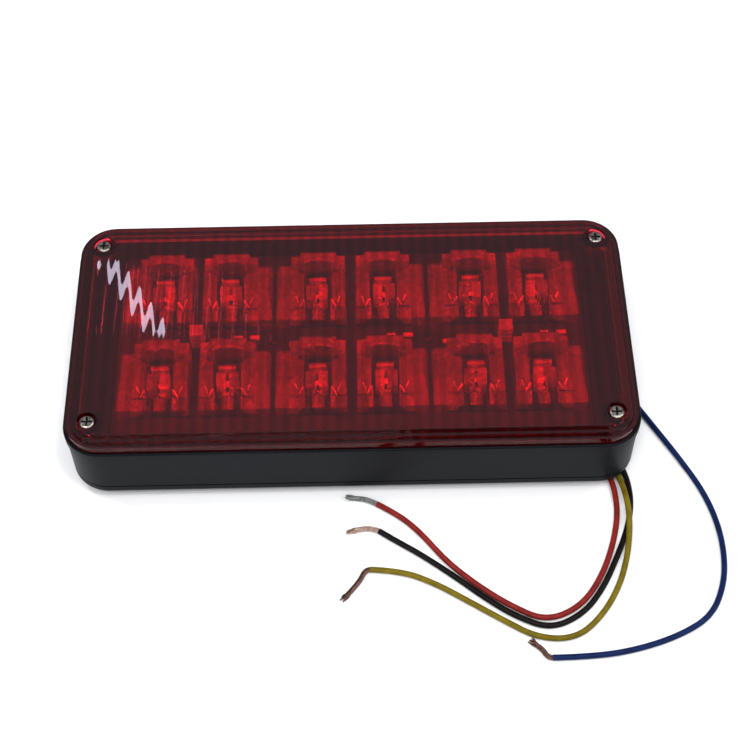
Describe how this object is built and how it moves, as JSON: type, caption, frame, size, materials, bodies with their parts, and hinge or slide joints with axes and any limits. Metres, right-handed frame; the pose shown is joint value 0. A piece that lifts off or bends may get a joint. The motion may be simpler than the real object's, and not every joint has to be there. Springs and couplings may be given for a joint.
{
  "type": "trailer tail light",
  "caption": "Rectangular surface-mount vehicle tail light: black tub housing, terraced clear red lens over paired LED optics, and loose colour-coded leads with stripped ends.",
  "frame": {"origin": "centre of the back, at the foam gasket's outer face, under the middle of the housing collar", "axes": "+Z out of the back through the lens, +X along the long side towards the end where the leads leave, +Y along the short side away from the leads"},
  "size_m": [0.2216, 0.1601, 0.0334],
  "materials": {
    "housing_plastic": "satin moulded black ABS",
    "foam": "closed-cell black foam",
    "insert_brass": "turned and knurled",
    "lens_red": "clear red polycarbonate, polished",
    "seal_rubber": "moulded silicone",
    "screw_steel": "stainless, tumbled",
    "board_laminate": "black solder mask",
    "post_nylon": "natural nylon",
    "optic_clear": "water-clear acrylic",
    "led_package": "ceramic base with silicone dome",
    "component_black": "epoxy moulding",
    "can_aluminium": "bare can",
    "component_ceramic": "fired ceramic",
    "ferrite": "sintered ferrite",
    "header_nylon": "natural nylon",
    "wire_red": "extruded PVC",
    "wire_black": "extruded PVC",
    "wire_yellow": "extruded PVC",
    "wire_blue": "extruded PVC",
    "strand_tinned": "tinned copper strands, twisted",
    "strand_copper": "bare copper strands, twisted"
  },
  "bodies": {
    "root": {"housing": "housing_plastic", "mounting_gasket": "foam", "mounting_inserts": "insert_brass", "lens": "lens_red", "lens_seal": "seal_rubber", "lens_screws": "screw_steel", "circuit_board": "board_laminate", "board_screws": "screw_steel", "spacer_post_1": "post_nylon", "spacer_post_2": "post_nylon", "optic_01": "optic_clear", "led_01": "led_package", "optic_02": "optic_clear", "led_02": "led_package", "optic_03": "optic_clear", "led_03": "led_package", "optic_04": "optic_clear", "led_04": "led_package", "optic_05": "optic_clear", "led_05": "led_package", "optic_06": "optic_clear", "led_06": "led_package", "optic_07": "optic_clear", "led_07": "led_package", "optic_08": "optic_clear", "led_08": "led_package", "optic_09": "optic_clear", "led_09": "led_package", "optic_10": "optic_clear", "led_10": "led_package", "optic_11": "optic_clear", "led_11": "led_package", "optic_12": "optic_clear", "led_12": "led_package", "inductor": "ferrite", "smoothing_capacitors": "can_aluminium", "driver_chips": "component_black", "flash_chip": "component_black", "diodes": "component_black", "ceramic_capacitors": "component_ceramic", "resistors": "component_ceramic", "wire_header": "header_nylon", "wire_gland": "seal_rubber", "inner_leads": "component_black", "red_wire": "wire_red", "black_wire": "wire_black", "yellow_wire": "wire_yellow", "blue_wire": "wire_blue", "red_strands": "strand_tinned", "black_strands": "strand_copper", "yellow_strands": "strand_copper", "blue_strands": "strand_copper"}
  },
  "joints": []
}
